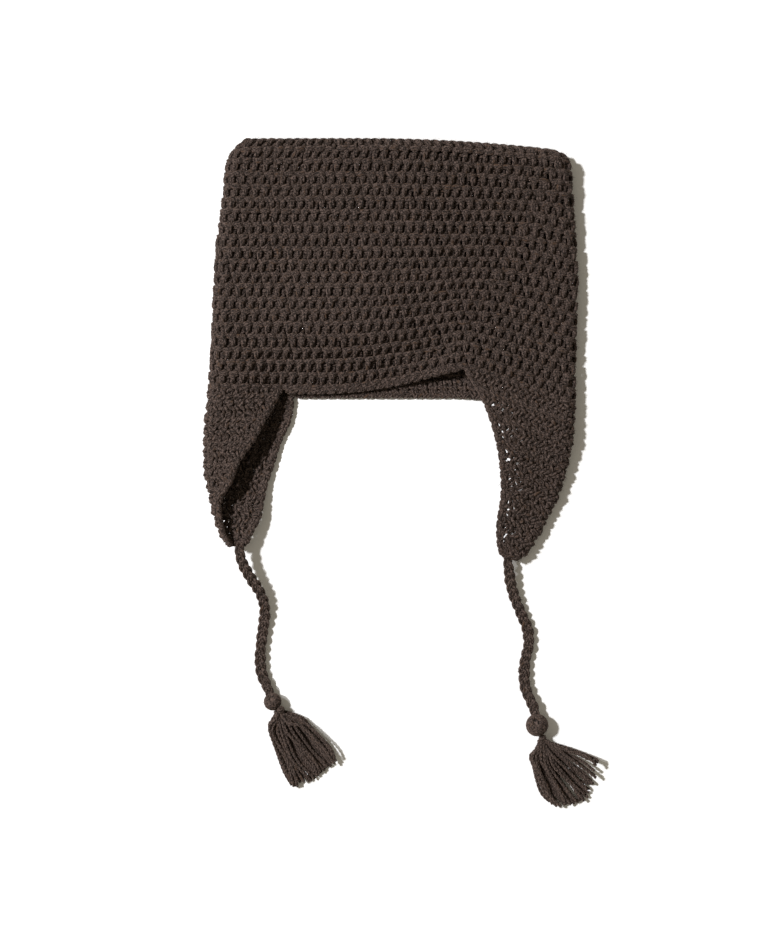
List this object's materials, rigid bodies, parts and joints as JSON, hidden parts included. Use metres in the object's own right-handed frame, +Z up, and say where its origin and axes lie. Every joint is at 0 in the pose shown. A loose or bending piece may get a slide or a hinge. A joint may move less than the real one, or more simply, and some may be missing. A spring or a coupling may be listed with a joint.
{
  "type": "earflap hat",
  "caption": "Crocheted earflap hat laid flat: a square-topped tube for the head with two folded earflaps, each ending in a tie cord, a yarn ball and a tassel.",
  "frame": {"origin": "on the surface that the hat lies on, under the middle of the hat's own box, measured without its ties, balls and tassels", "axes": "+Z up from the surface, +Y towards the closed top of the hat, +X towards the flap that lies on the right in a view from above"},
  "size_m": [0.293, 0.4968, 0.0251],
  "materials": {
    "hat_yarn": "fuzzy heathered dark brown yarn, crocheted",
    "edging_yarn": "the same yarn in a finer, closer row",
    "tie_yarn": "the same yarn, plaited and wound tight",
    "tassel_yarn": "the same yarn, loose cut strands"
  },
  "bodies": {
    "root": {"crown": "hat_yarn", "ear_flap_left": "hat_yarn", "ear_flap_right": "hat_yarn", "edging": "edging_yarn", "tie_cord_left": "tie_yarn", "tie_cord_right": "tie_yarn", "ball_left": "tie_yarn", "ball_right": "tie_yarn", "tassel_left": "tassel_yarn", "tassel_right": "tassel_yarn"}
  },
  "joints": []
}
